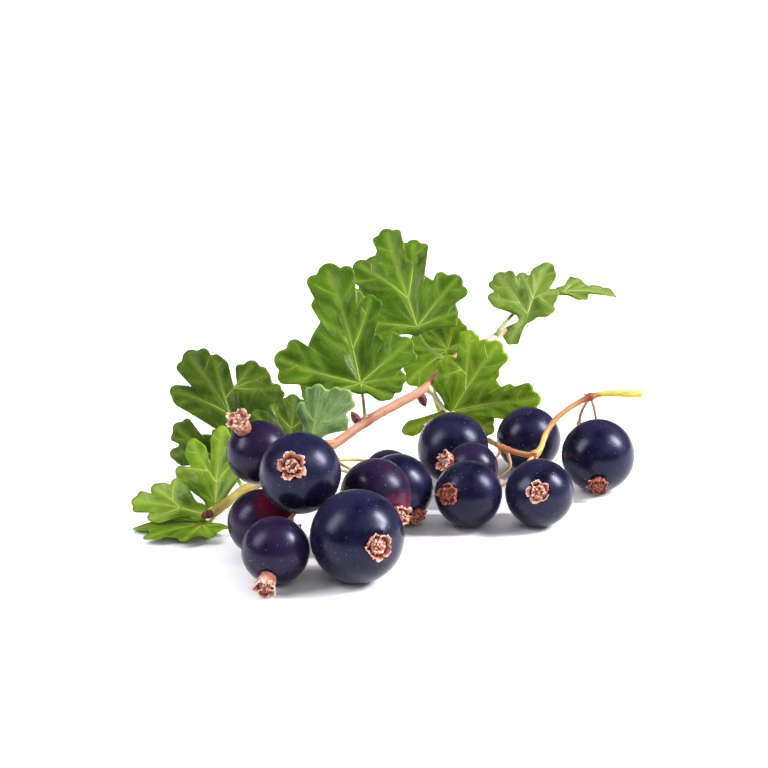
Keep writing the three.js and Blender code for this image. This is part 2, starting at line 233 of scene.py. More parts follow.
def addNode(tree, kind, inputs, **settings):
    # one node with its settings. An input is a value, a hex colour, an output to link, or a node,
    # which stands for its first output in use. A colour Mix has its share at 0 and its colours at
    # 6 and 7.
    node = tree.nodes.new("ShaderNode" + kind)
    for name, value in settings.items():
        setattr(node, name, value)
    for key, value in inputs.items():
        if isinstance(value, bpy.types.Node):
            value = next(output for output in value.outputs if output.enabled)
        if isinstance(value, bpy.types.NodeSocket):
            tree.links.new(value, node.inputs[key])
        else:
            node.inputs[key].default_value = linear(value) if isinstance(value, str) else value
    return node


def startMaterial(name, values=(), vectors=()):
    # an empty material, what adds a node to it, and the output of each attribute that it reads
    material = bpy.data.materials.new(name)
    material.use_nodes = True
    material.node_tree.nodes.clear()
    add = partial(addNode, material.node_tree)
    wanted = [(key, "Fac") for key in values] + [(key, "Vector") for key in vectors]
    read = [add("Attribute", {}, attribute_name=key).outputs[kind] for key, kind in wanted]
    return material, add, *read


def pattern(place, size, detail):
    # inputs of a noise whose patches are about that size in mm
    return {"Vector": place, "Scale": 1 / (size * mm), "Detail": detail}


def finishMaterial(material, shine, colour, layers=(), value=None, relief=None):
    # lays each layer's colour over those before it by its share, then changes how light the whole
    # is and how it stands up: the height, its strength and its depth in mm
    tree = material.node_tree
    for share, over in layers:
        colour = addNode(tree, "Mix", {0: share, 6: colour, 7: over}, data_type="RGBA")
    if value:
        colour = addNode(tree, "HueSaturation", {"Color": colour, "Value": value})
    shader = addNode(tree, "BsdfPrincipled", {"Base Color": colour, **shine})
    if relief:
        height, strength, depth = relief
        raised = {"Height": height, "Strength": strength, "Distance": depth * mm}
        bump = addNode(tree, "Bump", raised)
        tree.links.new(bump.outputs[0], shader.inputs["Normal"])
    addNode(tree, "OutputMaterial", {"Surface": shader})
    return material


berrySkinLook = {
    "ink": "#030316",  # where the wax is rubbed off
    "plum": "#26132b",  # where the flesh is less ripe
    "bloom": "#171732",  # where the wax is whole
    "crimson": "#6a0a28",  # the last of the red, where a neighbour kept the sun off
    "pore": "#a6a3bc",
    "bloomSize": 4.0,  # mm
    "poreSpacing": 0.55,  # mm
    "poreSize": 0.075,  # of the spacing
    "fine": 0.35,  # unevenness of the skin, mm
    "roughness": [0.22, 0.34],  # bare and waxed
}


def ripeBerrySkin():
    # ripe blackcurrant skin: taut, nearly black, under a thin wax that greys it and softens its
    # shine, with scattered pale pores
    look = berrySkinLook
    material, add, kept, plummy, blush = startMaterial("ripeBerrySkin", ["wax", "plum", "blush"])
    place = add("TexCoord", {}).outputs["Object"]
    wax = add("TexNoise", pattern(place, look["bloomSize"], 5.0))
    patchy = add("MapRange", {"Value": wax, "From Min": 0.3, "From Max": 0.6})
    waxed = add("Math", {0: patchy, 1: kept}, operation="MULTIPLY")
    cells = add("TexVoronoi", {"Vector": place, "Scale": 1 / (look["poreSpacing"] * mm)})
    size = look["poreSize"]
    rim = {"From Min": size, "From Max": 1.6 * size, "To Min": 1.0, "To Max": 0.0}
    dots = add("MapRange", {"Value": cells, **rim})
    chance = add("SeparateColor", {0: cells.outputs["Color"]})
    some = add("Math", {0: chance, 1: 0.45}, operation="GREATER_THAN")
    pores = add("Math", {0: dots, 1: some}, operation="MULTIPLY")
    paler = add("Math", {0: pores, 1: chance.outputs[1]}, operation="MULTIPLY")
    layers = [(waxed, "bloom"), (plummy, "plum"), (blush, "crimson"), (paler, "pore")]
    layers = [(share, look[tint]) for share, tint in layers]
    bare, full = look["roughness"]
    rough = add("MapRange", {"Value": waxed, "To Min": bare, "To Max": full})
    fine = add("TexNoise", pattern(place, look["fine"], 3.0))
    height = add("Math", {0: pores, 1: fine}, operation="ADD")
    sheen = {"Sheen Weight": 0.06, "Sheen Roughness": 0.4, "Sheen Tint": "#bdb9e6"}
    shine = {"Roughness": rough, "IOR": 1.33, "Specular Tint": "#dfe2ff", **sheen}
    return finishMaterial(material, shine, look["ink"], layers, relief=(height, 0.12, 0.05))


driedFlowerLook = {
    # The darkest colour is painted shade deep inside the flower; the second colour of each pair is
    # a painted highlight where an edge catches the light.
    "hollowShade": "#5a2a1c",
    "pinkish": ["#bb7f6a", "#dfb9a6"],  # husk and edge
    "reddish": ["#6e3228", "#a66858"],
    "rust": "#a2543a",
    "patch": 0.8,  # mm
    "crease": 0.3,  # mm
}


def witheredFlower(name, husk, edge):
    # withered petals and sepals: thin, papery and crumpled, with painted shade that darkens them
    # deep inside and in creases, and a painted highlight where an edge catches the light
    look = driedFlowerLook
    # out runs from painted shade, 0 deep inside and in creases, to painted light, 1 out on the
    # lobes
    material, add, out = startMaterial(name, ["out"])
    place = add("TexCoord", {}).outputs["Object"]
    # painted highlight: where out is highest, the edge colour lies over the husk
    edges = add("MapRange", {"Value": out, "From Min": 0.6, "From Max": 1.0})
    patches = add("TexNoise", pattern(place, look["patch"], 4.0))
    spots = add("MapRange", {"Value": patches, "From Min": 0.5, "From Max": 0.66})
    creases = add("TexNoise", pattern(place, look["crease"], 4.0))
    shine = {"Roughness": 0.75, "IOR": 1.4, "Subsurface Weight": 0.12, "Subsurface Scale": 0.3 * mm}
    layers = [(out, husk), (edges, edge), (spots, look["rust"])]
    return finishMaterial(material, shine, look["hollowShade"], layers, relief=(creases, 0.6, 0.15))


barkTones = {
    # woody, fresh and streak colours, roughness, width of a fibre in mm
    "youngBark": ["#a8785f", "#96863a", "#85543e", 0.62, 0.5],
    "trussStalk": ["#b06f4c", "#c4bd52", "#96583a", 0.5, 0.35],
}
barkLook = {"rust": "#7a3422", "bleached": "#dcae9e", "patch": 2.6, "drawnOut": 0.16}  # patch in mm


def stemBark(name, woody, fresh, streak, roughness, fibre):
    # young bark: thin and smooth, in fine fibres along the stem, woody with age and green where it
    # is young
    look = barkLook
    values, vectors = ["fresh", "rust", "pale"], ["grain"]
    material, add, fresher, rusty, paler, grain = startMaterial(name, values, vectors)
    along = add("Mapping", {"Vector": grain, "Scale": (1.0, 1.0, look["drawnOut"])})
    fibres = add("TexNoise", {"Roughness": 0.6, **pattern(along, fibre, 5.0)})
    patches = add("TexNoise", pattern(grain, look["patch"], 3.0))
    some = {"From Min": 0.45, "From Max": 0.72, "To Max": 0.7}
    streaks = add("MapRange", {"Value": fibres, **some})
    layers = [(fresher, fresh), (streaks, streak), (rusty, look["rust"]), (paler, look["bleached"])]
    lighter = add("MapRange", {"Value": patches, "To Min": 0.8, "To Max": 1.25})
    shine = {"Roughness": roughness, "IOR": 1.45}
    return finishMaterial(material, shine, woody, layers, lighter, (fibres, 0.5, 0.12))


budScaleLook = {"deep": "#371012", "light": "#6a2628", "edge": "#a1705a", "down": 0.3}  # down in mm


def budScale():
    # winter bud scales: dull maroon, brown and downy at their edges
    look = budScaleLook
    material, add, edge = startMaterial("winterBudScale", ["edge"])
    place = add("TexCoord", {}).outputs["Object"]
    down = add("TexNoise", pattern(place, look["down"], 4.0))
    layers = [(down, look["light"]), (edge, look["edge"])]
    shine = {"Roughness": 0.6, "IOR": 1.42}
    return finishMaterial(material, shine, look["deep"], layers, relief=(down, 0.4, 0.08))


leafTones = {
    # deep and light green, vein, margin
    "deep": ["#172a02", "#304805", "#708628", "#425f12"],
    "mid": ["#1f3902", "#3f5f06", "#7f9630", "#527214"],
    "bright": ["#305004", "#60800a", "#9cb142", "#779624"],
    "olive": ["#2f480e", "#586f22", "#86974a", "#707d3c"],
    "under": ["#3f5c2a", "#62814a", "#93a678", "#82945c"],
}
# roughness, depth of the net, strength of the folds
leafSides = {"upper": [0.4, 0.5, 0.25], "under": [0.62, 1.0, 0.9]}
# mm: mottling, finest veins, the blade's own cells, folds at the middle of the blade
leafGrain = {"patch": 5.0, "net": 0.8, "cell": 0.2, "fold": 0.6}


def leafBlade(name, tones, roughness, netDepth, folds):
    # a leaf's surface: satin, mottled green between paler veins, in a fine net that the blade sinks
    # into, with faint folds that run out from its foot
    look = leafGrain
    deep, light, vein, margin = tones
    values, vectors = ["vein", "margin"], ["flat", "rays"]
    material, add, nearVein, nearEdge, flat, rays = startMaterial(name, values, vectors)
    mottle = add("TexNoise", {"Distortion": 0.4, **pattern(flat, look["patch"], 5.0)})
    mottled = add("MapRange", {"Value": mottle, "From Min": 0.32, "From Max": 0.68})
    fold = add("TexNoise", pattern(rays, look["fold"], 3.0))
    some = {"From Min": 0.5, "From Max": 0.7, "To Max": 0.5 * folds}
    folded = add("MapRange", {"Value": fold, **some})
    size = 1 / (look["net"] * mm)
    net = add("TexVoronoi", {"Vector": flat, "Scale": size}, feature="DISTANCE_TO_EDGE")
    threads = add("MapRange", {"Value": net, "From Max": 0.12, "To Min": 0.07, "To Max": 0.0})
    halo = add("Math", {0: nearVein, 1: 0.4}, operation="MULTIPLY")
    layers = [(mottled, light), (folded, vein), (threads, vein), (halo, vein), (nearEdge, margin)]
    around = {"To Min": roughness - 0.1, "To Max": roughness + 0.1}
    rough = add("MapRange", {"Value": mottle, **around})
    cells = add("TexNoise", pattern(flat, look["cell"], 2.0))
    sunk = add("MapRange", {"Value": net, "From Max": 0.3, "To Max": netDepth})
    grain = add("Math", {0: cells, 1: 0.25, 2: sunk}, operation="MULTIPLY_ADD")
    height = add("Math", {0: folded, 1: 3.0, 2: grain}, operation="MULTIPLY_ADD")
    flesh = {"Subsurface Weight": 0.08, "Subsurface Scale": 0.4 * mm}
    flesh["Subsurface Radius"] = (0.5, 1.0, 0.1)  # green goes furthest
    shine = {"Roughness": rough, "IOR": 1.42, "Specular Tint": "#e9f2bd", **flesh}
    return finishMaterial(material, shine, deep, layers, relief=(height, 0.25, 0.1))


veinLook = {"foot": "#d3d6a0", "patch": 1.5}  # patch in mm


def leafVein(name, pale, blade):
    # veins and leaf stalk: smooth, juicy and pale, greener as they thin out into the blade, whitish
    # where the stalk leaves the twig and, as a painted highlight, all along a stalk that is set
    # pale
    material, add, nearFoot, thin = startMaterial(name, ["foot", "soft"])
    place = add("TexCoord", {}).outputs["Object"]
    patches = add("TexNoise", pattern(place, veinLook["patch"], 3.0))
    lighter = add("MapRange", {"Value": patches, "To Min": 0.8, "To Max": 1.2})
    flesh = {"Subsurface Weight": 0.15, "Subsurface Scale": 0.4 * mm}
    layers = [(thin, blade), (nearFoot, veinLook["foot"])]
    shine = {"Roughness": 0.45, "IOR": 1.42, **flesh}
    return finishMaterial(material, shine, pale, layers, lighter)


twigPath = [
    [-27.4, 23.5, 3.7], [-25.5, 25.5, 4.6], [-23.4, 28, 5.6], [-17.8, 32, 6.7], [-13.2, 36, 8.1],
    [-8, 41, 9.5], [-3, 46.5, 11.4], [2.4, 54.5, 11.9], [7.7, 63, 12.3], [11.6, 68, 15],
    [17.6, 76, 16.1], [22.6, 82.5, 16.6],
]
twigLook = {
    "young": 0.57,  # radius at the thin end, mm
    "old": 0.78,
    "oldBy": 0.45,  # share of its length by which it is that thick
    "taper": 0.2,  # how much thinner it is again near its cut end, mm
    "woodFrom": 0.2,  # share of its length where the green end turns to wood
    "woodTo": 0.42,
    "swelling": 0.2,  # how much thicker it is where a leaf grows, mm
    "swellingLength": 1.4,  # mm
    "swellingLoss": 0.6,  # share that the swellings lose near its cut end
    "swellingRust": 0.55,  # how rusty they are, from this share of its length on
    "rustFrom": 0.3,
    "ridges": 0.05,
    "pale": 0.6,  # how bleached it is near its cut end
    # the rings past its last point, down to the pith: how much further, share of the radius, rust
    "cutEnd": [
        [0.02, 1, 0], [0.1, 0.97, 0.2], [0.13, 0.86, 0],
        [0.12, 0.5, 0], [0.04, 0.45, 0.5], [0.03, 0.2, 0.6],
    ],
    "cutFresh": 0.35,  # how green the cut end is
    "sides": 40,
    "rings": 460,
}
leafFeet = [2.8, 2.2, 1, 0.3, 0.5, 3.2, 4, 6, 9, 9.8, 8.3, 10.95, 10.5]  # counted along twigPath


def makeTwig(bark):
    # radius = from young to old along the twig + a swelling at each leaf + ridges along the grain;
    # the cut end steps in to the pith
    look = twigLook
    path = smoothPath(twigPath, look["rings"])
    share = np.linspace(0, 1, look["rings"])
    run = runOf(path)
    feet = np.interp(np.array(leafFeet) / (len(twigPath) - 1), share, run)
    bump = bell(run[:, None] - feet, look["swellingLength"]).max(1)
    bump = bump * (1 - look["swellingLoss"] * step(share, 0.8, 0.95))
    radius = look["young"] + (look["old"] - look["young"]) * step(share, 0, look["oldBy"])
    radius = radius + look["swelling"] * bump - look["taper"] * step(share, 0.78, 0.95)
    past, smaller, rustier = np.array(look["cutEnd"]).T
    path = np.vstack([path, path[-1] + np.outer(past, unit(path[-1] - path[-2]))])
    radius = np.concatenate([radius, radius[-1] * smaller])
    fresh = 1 - step(share, look["woodFrom"], look["woodTo"])
    fresh = np.concatenate([fresh, look["cutFresh"] + 0 * past])
    rust = np.concatenate([look["swellingRust"] * bump * (share > look["rustFrom"]), rustier])
    pale = np.pad(look["pale"] * step(share, 0.8, 0.97), (0, len(past)), mode="edge")
    path, radius = (ended[: -len(endShares)] for ended in roundEnds(path, radius))
    _, grain = tube(path, radius, look["sides"])
    uneven = ripple(grain / mm * [2.2, 2.2, 0.35], 1.1, 3) + 0.6 * ripple(grain / mm, 2.5, 4)
    uneven = uneven * step(np.arange(len(path))[::-1], 0, 8)[:, None]
    points, grain = tube(path, radius[:, None] + look["ridges"] * uneven, look["sides"])
    values = {"grain": grain}
    for key, value in (("fresh", fresh), ("rust", rust), ("pale", pale)):
        values[key] = np.pad(value, (len(endShares), 0), mode="edge")[:, None]
    makePiece("twig_bark", "twig", [bark], [{"points": points, "values": values}])


# A leaf's foot is where it leaves the twig, counted along twigPath. Its blade starts at base, its
# middle points along aim and its upper side along face. A lobe has degrees from the middle, length,
# width and pairs of teeth. The web is how far the blade reaches between lobes, bend holds its arch,
# fold, pleats, wave and the wave's start, and stalkTone how green its stalk is and how pale all
# along, that paleness a painted highlight where a stalk lies in bright light.
leaves = [
    {"foot": 2.8, "base": [-23.4, 40, 10.3], "aim": [-0.52, 0.43, 0.74], "face": [0, -0.86, 0.5],
     "lobes": [
         [-1, 18.4, 3.2, 1], [12, 15.7, 2.3, 0], [-22, 15.4, 2.5, 0], [37, 13.9, 2.8, 1],
         [50, 12.4, 1.7, 0], [63, 11.3, 2, 1],
     ],
     "bend": [0.05, 0.05, 0.12, 0.6, 0], "tone": "deep"},
    {"foot": 2.2, "base": [-27, 34.5, 8.5], "aim": [-0.8, 0.2, 0.55], "face": [-0.1, -0.86, 0.5],
     "lobes": [[3, 9.9, 2.4, 1], [-26, 8.5, 2.2, 0], [58, 6, 1.8, 1]],
     "bend": [0.1, 0.1, 0.15, 0.4, 1], "tone": "deep"},
    {"foot": 1, "base": [-27.4, 28.2, 3.4], "aim": [-0.21, 0.51, 0.83], "face": [-0.1, -0.86, 0.5],
     "lobes": [[-9, 12, 2.3, 0], [16, 13.4, 2.2, 0], [-34, 9.2, 2, 0], [40, 10.2, 2.4, 0]],
     "web": 0.55, "bend": [0.08, 0.08, 0.15, 0.5, 2], "tone": "bright"},
    {"foot": 0.3, "base": [-29.9, 24.8, 3.2], "aim": [-0.9, 0.35, 0.26],
     "face": [-0.1, -0.75, 0.65],
     "lobes": [[-11, 11.8, 2.1, 1], [8, 9.8, 2, 0], [-28, 8.6, 1.6, 0], [29, 7.7, 1.7, 0]],
     "bend": [0.12, 0.1, 0.15, 0.4, 3], "tone": "bright"},
    {"foot": 0.5, "base": [-29.3, 24.2, 1.4], "aim": [-1, 0.05, 0], "face": [0, 0, 1],
     "lobes": [
         [0, 11.5, 2.4, 0], [-32, 10.5, 2.2, 0], [36, 6.6, 2.2, 1], [-70, 7.4, 2.2, 0],
         [-110, 6, 2, 0], [-165, 4.8, 1.6, 0],
     ],
     "web": 0.8, "bend": [0.08, 0.02, 0.08, 0.2, 4], "tone": "bright"},
    {"foot": 3.2, "base": [-15.8, 38, 10.5], "aim": [-0.1, 0.43, 0.9], "face": [0.1, -0.9, 0.4],
     "lobes": [[11, 8.5, 2.5, 1], [-17, 7.4, 1.9, 0], [-43, 8.1, 1.9, 0], [40, 6, 1.8, 1]],
     "bend": [0.1, 0.1, 0.15, 0.4, 5], "tone": "deep"},
    {"foot": 4, "base": [-11.7, 30, 14.5], "aim": [0.2, 0.33, 0.92], "face": [-0.1, 0.94, -0.31],
     "lobes": [[4, 8.7, 2.2, 1], [-28, 9.8, 2.5, 1], [-52, 6.8, 1.8, 1], [30, 6, 1.6, 0]],
     "web": 0.68, "bend": [0.1, 0.1, 0.2, 0.4, 0], "tone": "mid"},
    {"foot": 6, "base": [-4, 47, 17.9], "aim": [-0.23, 0.48, 0.84], "face": [0.05, -0.86, 0.5],
     "lobes": [
         [-2, 22, 4.2, 3], [20, 15.8, 2.2, 1], [-60, 15.2, 4.1, 2], [-90, 10.2, 2.2, 0],
         [62, 11.8, 3.4, 1], [95, 8, 2.6, 1], [125, 6.2, 2, 0],
     ],
     "bend": [0.04, 0.05, 0.12, 0.7, 0], "tone": "mid"},
    {"foot": 9, "base": [5.9, 75, 19.4], "aim": [-0.19, 0.6, 0.77], "face": [-0.1, -0.8, 0.6],
     "lobes": [
         [-6, 20.4, 2.8, 2], [9, 17.1, 2.8, 1], [50, 12.4, 3.6, 2], [-29, 17.4, 3.3, 2],
         [-72, 12, 3.4, 2], [82, 8, 2.6, 1],
     ],
     "petiole": 0.38, "stalkTone": [0.75, 0], "bend": [0.04, 0.05, 0.12, 0.6, 1], "tone": "mid"},
    {"foot": 9.8, "base": [11.4, 79, 13.9], "aim": [-0.75, -0.1, -0.65], "face": [-0.2, -0.9, 0.3],
     "lobes": [
         [0, 9.5, 3, 1], [-38, 8, 2.6, 1], [45, 7.5, 2.4, 1], [95, 7.6, 2.6, 1], [-150, 6, 2.4, 1],
         [150, 6.4, 2.4, 1],
     ],
     "bend": [-0.1, 0.08, 0.12, 0.5, 2], "tone": "bright"},
    {"foot": 7.95, "base": [12, 60.8, 8.4], "aim": [0.14, 0.25, 0.96], "face": [-0.1, -0.9, 0.42],
     "lobes": [
         [4, 14.7, 1.9, 1], [26, 14.8, 3.1, 2], [73, 15.7, 3.1, 2], [108, 8.2, 2.2, 1],
         [-13, 10, 2.4, 1], [-33, 7, 1.6, 0], [-121, 9.9, 1.8, 0],
     ],
     # its stalk is paled all along: a painted highlight where it lies in bright light
     "petiole": 0.58, "stalkTone": [0.2, 0.85], "bend": [0.08, 0.04, 0.12, 0.6, 3],
     "tone": "bright"},
    {"foot": 10.95, "base": [25.9, 82, 19.6], "aim": [0.3, 0.65, 0.7], "face": [-0.1, -0.7, 0.7],
     "lobes": [
         [4, 12.1, 3, 0], [-22, 9, 2.2, 0], [-49, 10.5, 2.8, 1], [-76, 8.3, 2.2, 0],
         [33, 7.6, 2.2, 0], [62, 5.4, 1.8, 0], [-166, 7, 1.7, 1],
     ],
     "web": 0.72, "petiole": 0.52, "stalkTone": [0.85, 0], "bend": [0.04, 0.1, 0.15, 0.5, 4],
     "tone": "olive"},
    {"foot": 10.5, "base": [33, 91.5, 21.2], "aim": [1, 0.1, 0.02], "face": [-0.1, -0.25, 0.95],
     "lobes": [[0, 10.4, 1.9, 2], [-45, 5.6, 1.8, 1], [45, 5.6, 1.8, 1]],
     "stalkTone": [0.7, 0], "bend": [0.1, 0.2, 0.2, 0.8, 5], "tone": "olive"},
]
leafLook = {
    "thickness": 0.26,  # mm
    "web": 0.62,  # how far the blade usually reaches between two lobes, as a share of their length
    "blend": 0.4,  # how softly lobes and teeth run together, mm
    "pucker": 0.42,  # how far the blade swells up between its veins, mm
    "puckerWidth": 1.35,  # how wide the dip along a vein is, mm
    "lumps": [0.05, 2.4],  # height and size of the lumps in it, mm
    "primary": [0.2, 0.1],  # vein radius at its foot and its tip, mm
    "secondary": [0.15, 0.115],
    "veinSpacing": 3.4,  # between the side veins of one side, mm
    "veinReach": 0.93,  # of the way to the rim
    "veinLean": [58, 24],  # degrees off its main vein, at a side vein's foot and tip
    "veinApart": 0.55,  # nearest that a side vein comes to another vein, mm
    "forkWithin": 30,  # degrees between two main veins that fork
    "forkAt": 0.3,  # of the longer one's length
    "halo": 0.5,  # how wide a vein tints the blade, mm
    "columns": 260,
    "rings": 30,  # of each side, from the middle to the rim
    "petiole": 0.42,  # usual radius of the leaf stalk, mm
}
lobeShape = {
    "heart": 1.8,  # radius of the blade's own middle, mm
    # the rest are shares of a lobe's width: how far back from its tip its neck and crown are
    "neck": 1.15,
    "crown": 0.5,
    "wide": [0.42, 0.82, 0.8, 0.5],  # radius at its foot, below and above the neck, at the crown
    "tooth": 0.7,  # how far back its first pair of teeth is
    "toothOut": [0.66, 0.78],  # how far out the first pair reaches, and the others
    "toothSize": [0.36, 0.33],
}


def wayAt(degrees):
    # the direction in the blade's plane that is that far from its middle
    return np.array([np.sin(np.radians(degrees)), np.cos(np.radians(degrees))])


def rightOf(way):
    # that direction turned a quarter to the right
    return np.array([way[1], -way[0]])


def bladeStrokes(lobes):
    # x, y, dx, dy and two radii of each stroke: a lobe is a widening stroke and a rounded head,
    # with pairs of smaller strokes down its sides for the teeth
    shape = lobeShape
    strokes = [[0, 0, 0, 0, shape["heart"], shape["heart"]]]
    for degrees, length, width, teeth in lobes:
        up = wayAt(degrees)
        over = rightOf(up)
        neck, crown = length - shape["neck"] * width, length - shape["crown"] * width
        foot, below, above, top = (share * width for share in shape["wide"])
        parts = [(0, neck, foot, below, 0, 0), (neck, crown, above, top, 0, 0)]
        for k in range(teeth):
            along = length - width * (shape["tooth"] + k)
            if along < 0.25 * length:
                break
            out, r = (width * shape[key][min(k, 1)] for key in ("toothOut", "toothSize"))
            parts += [(along - r, along, r, r, side * (out - r), side * r) for side in (1, -1)]
        for start, end, r0, r1, side, offset in parts:
            onward = up * (end - start) + over * offset
            strokes.append([*(up * start + over * side), *onward, r0, r1])
    return np.array(strokes)


def bladeReach(leaf, turns):
    # how far the blade reaches at each angle: the outermost place where the strokes' nearness,
    # the sum of exp(-2 clear / blend), passes 2, or the web between two lobes where that is further
    lobes = leaf["lobes"]
    x, y, dx, dy, r0, r1 = bladeStrokes(lobes).T.astype(np.float32)
    longest = max(lobe[1] for lobe in lobes)
    d = np.arange(1.06 * longest, 0.2, -0.12, dtype=np.float32)  # inwards from past the tip, mm
    px = (np.sin(turns)[:, None] * d)[..., None].astype(np.float32) - x
    py = (np.cos(turns)[:, None] * d)[..., None].astype(np.float32) - y
    along = np.clip((px * dx + py * dy) / (dx * dx + dy * dy + 1e-9), 0, 1)
    clear = np.hypot(px - along * dx, py - along * dy) - r0 - (r1 - r0) * along
    near = np.log(np.exp(np.clip(-2 * clear / leafLook["blend"], -60, 60)).sum(-1)) - np.log(2)
    first = np.argmax(near > 0, axis=1)
    row = np.arange(len(turns))
    outer = np.maximum(first - 1, 0)
    share = near[row, outer] / (near[row, outer] - near[row, first] - 1e-6)
    reach = d[outer] + (d[first] - d[outer]) * np.clip(share, 0, 1)
    reach = np.where((near > 0).any(1), reach, 0.2)
    angles, lengths = np.array(sorted((lobe[0], lobe[1]) for lobe in lobes), float).T
    degrees = (np.degrees(turns) + 180) % 360 - 180
    after = np.clip(np.searchsorted(angles, degrees), 1, len(angles) - 1)
    wide = angles[after] - angles[after - 1] > 80
    web = np.interp(degrees, angles, lengths, left=0, right=0) * leaf.get("web", leafLook["web"])
    return np.maximum(reach, np.where(wide, 0, web))


def bladeRise(leaf, x, y):
    # how high the blade stands off its plane: it arches back, folds up along the middle, pleats up
    # between its main veins and waves at its edge
    arch, fold, pleat, wave, turn = leaf["bend"]
    longest = max(lobe[1] for lobe in leaf["lobes"])
    far, angle = np.hypot(x, y), np.arctan2(x, y)
    off = angle[..., None] - np.radians([lobe[0] for lobe in leaf["lobes"]])
    offVein = np.abs(np.arctan2(np.sin(off), np.cos(off))).min(-1)
    share = far / longest
    return (
        -arch * longest * share**2
        + fold * (np.hypot(x, 1) - 1)
        + pleat * far * np.minimum(np.sin(offVein), 0.35)
        + wave * share**3 * np.sin(5 * angle + turn)
    )


def nearest(points, paths):
    # distance from each point to the nearest of the paths, measured to their straight stretches
    a = np.vstack([path[:-1] for path in paths])
    ab = np.vstack([path[1:] - path[:-1] for path in paths])
    apart = points[:, None] - a
    along = np.clip((apart * ab).sum(-1) / ((ab * ab).sum(-1) + 1e-9), 0, 1)
    return np.linalg.norm(apart - along[..., None] * ab, axis=-1).min(1)


def veinsOf(leaf, reachAt, rng):
    # main veins run from the foot of the blade to each lobe's tip, or fork from a longer neighbour;
    # side veins leave them at an angle that closes towards the tip, and stop short of the rim
    look = leafLook
    lobes = sorted(leaf["lobes"], key=lambda lobe: -lobe[1])
    wide, narrow = look["veinLean"]
    main, side = [], []
    for degrees, length, *_ in lobes:
        t = np.linspace(0, 1, max(8, int(length * 2.5)))[:, None]
        way = wayAt(degrees)
        start = np.zeros(2)
        for other, path in main:
            if abs(other - degrees) < look["forkWithin"]:
                start = path[int(look["forkAt"] * len(path))]
                break
        tip = way * look["veinReach"] * min(length, reachAt(np.radians(degrees)))
        bow = rng.uniform(-0.03, 0.03) * length * rightOf(way)
        main.append((degrees, start + (tip - start) * t + bow * np.sin(np.pi * t)))
    for degrees, path in main:
        total = runOf(path)[-1]
        for k, foot in enumerate(np.arange(0.24 * total + 1, 0.9 * total, look["veinSpacing"] / 2)):
            i = int(foot / total * (len(path) - 1))
            way = unit(path[i + 1] - path[i])
            hand = 1 if k % 2 else -1
            t = np.linspace(0, 1, 26)
            lean = hand * np.radians(wide + (narrow - wide) * t + rng.uniform(-6, 6))
            ways = np.outer(np.cos(lean), way) + np.outer(np.sin(lean), rightOf(way))
            line = path[i] + np.vstack([[0, 0], np.cumsum(ways[:-1], axis=0)]) * 0.4 * total / 25
            reach = reachAt(np.arctan2(line[:, 0], line[:, 1]))
            inside = np.hypot(*line.T) < look["veinReach"] * reach
            others = [other for angle, other in main if angle != degrees] + side
            if others:
                inside &= (nearest(line, others) > look["veinApart"]) | (t < 0.1)
            stop = len(line) if inside.all() else int(np.argmin(inside))
            if stop > 7:
                side.append(line[:stop])
    return [path for _, path in main], side


def placeOn(leaf, x, y, height):
    # from the blade's plane to the sprig: base + x side + y middle + height face
    middle = unit(np.array(leaf["aim"], float))
    face = np.array(leaf["face"], float)
    face = unit(face - middle * (face @ middle))
    ways = np.stack([np.cross(middle, face), middle, face])
    return np.array(leaf["base"]) + np.stack([x, y, height], -1) @ ways


def twigPlace(foot):
    # the twig's own place and direction, counted along its points
    path = smoothPath(twigPath, 1101)
    i = int(round(foot / (len(twigPath) - 1) * 1100))
    return path[i], unit(path[min(i + 1, 1100)] - path[max(i - 1, 0)])


def petioleOf(leaf):
    # a quadratic curve that leaves the twig sideways and meets the blade along its middle lobe
    look = leafLook
    base, aim = np.array(leaf["base"]), unit(np.array(leaf["aim"], float))
    foot, along = twigPlace(leaf["foot"])
    out = base - foot
    out = unit(out - along * (out @ along))
    start = foot + out * (twigLook["old"] + 0.3 + look["petiole"])
    bow = base - 0.4 * np.linalg.norm(base - start) * aim
    t = np.linspace(0, 1, 34)[:, None]
    curve = (1 - t) ** 2 * start + 2 * t * (1 - t) * bow + t**2 * base
    path = np.vstack([foot + out * 0.35, foot + out * 0.9, curve])
    run = sharesOf(path)
    radius = leaf.get("petiole", look["petiole"])
    radius = radius * (0.78 + 0.55 * bell(run, 0.16) - 0.12 * run)
    channel = -0.07 * np.exp(-((np.arange(12) - 3) ** 2) / 2)
    points, _ = tube(path, radius[:, None] + channel, 12)
    # whitish near the twig, its own colour, and pale all along by the second stalkTone value, a
    # painted highlight
    green, pale = leaf.get("stalkTone", [0.25, 0])
    foot = np.maximum(bell(run[:, None], 0.2) * (1 - green), pale)
    return {"points": points, "material": 2, "values": {"foot": foot, "soft": green}}


